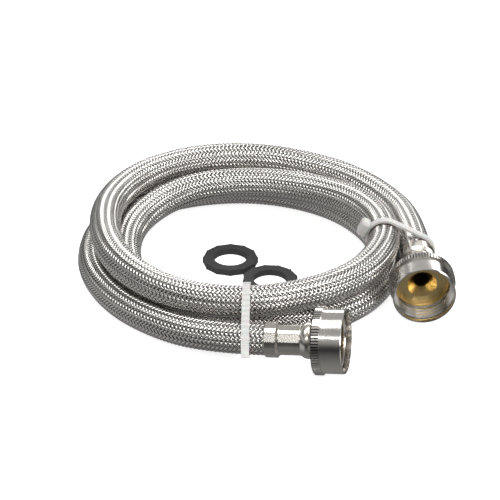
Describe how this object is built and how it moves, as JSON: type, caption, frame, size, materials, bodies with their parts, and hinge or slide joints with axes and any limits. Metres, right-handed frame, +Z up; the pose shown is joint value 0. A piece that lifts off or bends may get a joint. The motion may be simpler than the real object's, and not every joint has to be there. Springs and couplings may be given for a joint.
{
  "type": "braided supply line",
  "caption": "Coiled flexible water hose in a woven steel braid, with a swivel nut on a crimped ferrule at each end, loose flat washers and nylon cable ties.",
  "frame": {"origin": "on the floor, under the middle of the coiled and tied line", "axes": "+X to the right, +Y to the back, +Z up; the front coupling points along +X and the side coupling along -Y"},
  "size_m": [0.1743, 0.1897, 0.0327],
  "materials": {
    "braid_steel": "bright woven wire",
    "tube_rubber": "matt black rubber",
    "ferrule_steel": "satin stainless steel",
    "stem_brass": "turned brass",
    "nut_plating": "nickel plate over brass",
    "washer_rubber": "matt charcoal rubber",
    "tie_nylon": "natural translucent nylon"
  },
  "bodies": {
    "line": {"inner_tube": "tube_rubber", "wire_braid": "braid_steel", "valve_ferrule": "ferrule_steel", "valve_stem": "stem_brass", "machine_ferrule": "ferrule_steel", "machine_stem": "stem_brass", "front_tie": "tie_nylon", "side_tie": "tie_nylon"},
    "valve_nut": {"valve_nut": "nut_plating"},
    "machine_nut": {"machine_nut": "nut_plating"},
    "washer_1": {"washer_1": "washer_rubber"},
    "washer_2": {"washer_2": "washer_rubber"}
  },
  "joints": [
    {"name": "valve_nut_swivel", "type": "hinge", "parent": "line", "child": "valve_nut", "pos_m": [0.0717, -0.02658, 0.0154], "axis": [0.0523, -0.9977, -0.0436], "continuous": true},
    {"name": "machine_nut_swivel", "type": "hinge", "parent": "line", "child": "machine_nut", "pos_m": [0.0245, -0.0785, 0.01549], "axis": [0.9786, -0.1902, 0.0785], "continuous": true},
    {"name": "washer_1_lift", "type": "slide", "parent": "line", "child": "washer_1", "axis": [0, 0, 1], "range_m": [0, 0.04]},
    {"name": "washer_2_lift", "type": "slide", "parent": "line", "child": "washer_2", "axis": [0, 0, 1], "range_m": [0, 0.04]}
  ]
}
